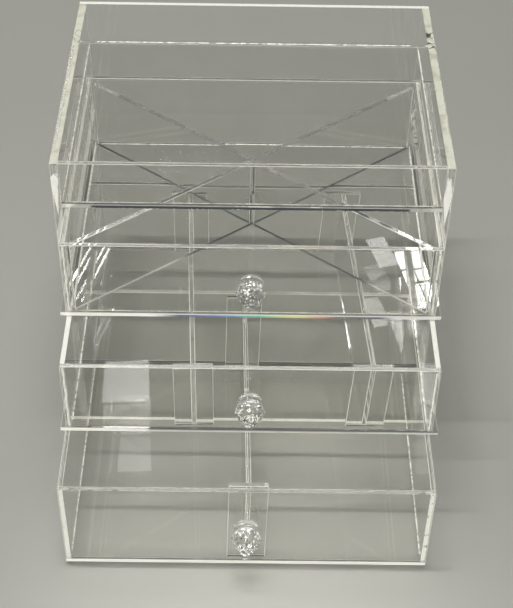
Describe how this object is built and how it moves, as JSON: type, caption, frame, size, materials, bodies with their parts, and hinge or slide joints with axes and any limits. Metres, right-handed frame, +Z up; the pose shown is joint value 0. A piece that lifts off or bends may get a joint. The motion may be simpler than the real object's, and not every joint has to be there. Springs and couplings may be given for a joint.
{
  "type": "makeup organizer drawers",
  "caption": "Clear acrylic vanity organizer with an open tray above stacked pull-out drawers, cut-gem knobs, a slotted cross divider and loose sliding dividers.",
  "frame": {"origin": "middle of the case's underside, on the surface it stands on", "axes": "+X to the right, +Y to the back, +Z up; the drawers pull out towards -Y"},
  "size_m": [0.24, 0.326, 0.224],
  "materials": {
    "clear_acrylic": "polished clear",
    "gem_knob": "polished clear"
  },
  "bodies": {
    "case": {"case_side_left": "clear_acrylic", "case_side_right": "clear_acrylic", "case_back": "clear_acrylic", "case_base": "clear_acrylic", "tray_floor": "clear_acrylic", "tray_front_wall": "clear_acrylic"},
    "top_drawer": {"top_drawer_floor": "clear_acrylic", "top_drawer_front": "clear_acrylic", "top_drawer_back": "clear_acrylic", "top_drawer_side_left": "clear_acrylic", "top_drawer_side_right": "clear_acrylic", "top_drawer_knob": "gem_knob", "cross_divider_lower_board": "clear_acrylic", "cross_divider_upper_board": "clear_acrylic"},
    "middle_drawer": {"middle_drawer_floor": "clear_acrylic", "middle_drawer_front": "clear_acrylic", "middle_drawer_back": "clear_acrylic", "middle_drawer_side_left": "clear_acrylic", "middle_drawer_side_right": "clear_acrylic", "middle_drawer_knob": "gem_knob"},
    "bottom_drawer": {"bottom_drawer_floor": "clear_acrylic", "bottom_drawer_front": "clear_acrylic", "bottom_drawer_back": "clear_acrylic", "bottom_drawer_side_left": "clear_acrylic", "bottom_drawer_side_right": "clear_acrylic", "bottom_drawer_knob": "gem_knob"},
    "left_divider": {"left_divider_web": "clear_acrylic", "left_divider_plate_front": "clear_acrylic", "left_divider_plate_back": "clear_acrylic"},
    "right_divider": {"right_divider_web": "clear_acrylic", "right_divider_plate_front": "clear_acrylic", "right_divider_plate_back": "clear_acrylic"},
    "deep_divider": {"deep_divider_web": "clear_acrylic", "deep_divider_plate_front": "clear_acrylic", "deep_divider_plate_back": "clear_acrylic"}
  },
  "joints": [
    {"name": "top_drawer_slide", "type": "slide", "parent": "case", "child": "top_drawer", "axis": [0, -1, 0], "range_m": [-0.0352, 0.1028]},
    {"name": "middle_drawer_slide", "type": "slide", "parent": "case", "child": "middle_drawer", "axis": [0, -1, 0], "range_m": [-0.0785, 0.0595]},
    {"name": "bottom_drawer_slide", "type": "slide", "parent": "case", "child": "bottom_drawer", "axis": [0, -1, 0], "range_m": [-0.1249, 0.0131]},
    {"name": "left_divider_slide", "type": "slide", "parent": "middle_drawer", "child": "left_divider", "axis": [1, 0, 0], "range_m": [-0.0549, 0.0347]},
    {"name": "right_divider_slide", "type": "slide", "parent": "middle_drawer", "child": "right_divider", "axis": [1, 0, 0], "range_m": [-0.0347, 0.024]},
    {"name": "deep_divider_slide", "type": "slide", "parent": "bottom_drawer", "child": "deep_divider", "axis": [1, 0, 0], "range_m": [-0.0934, 0.0968]}
  ]
}
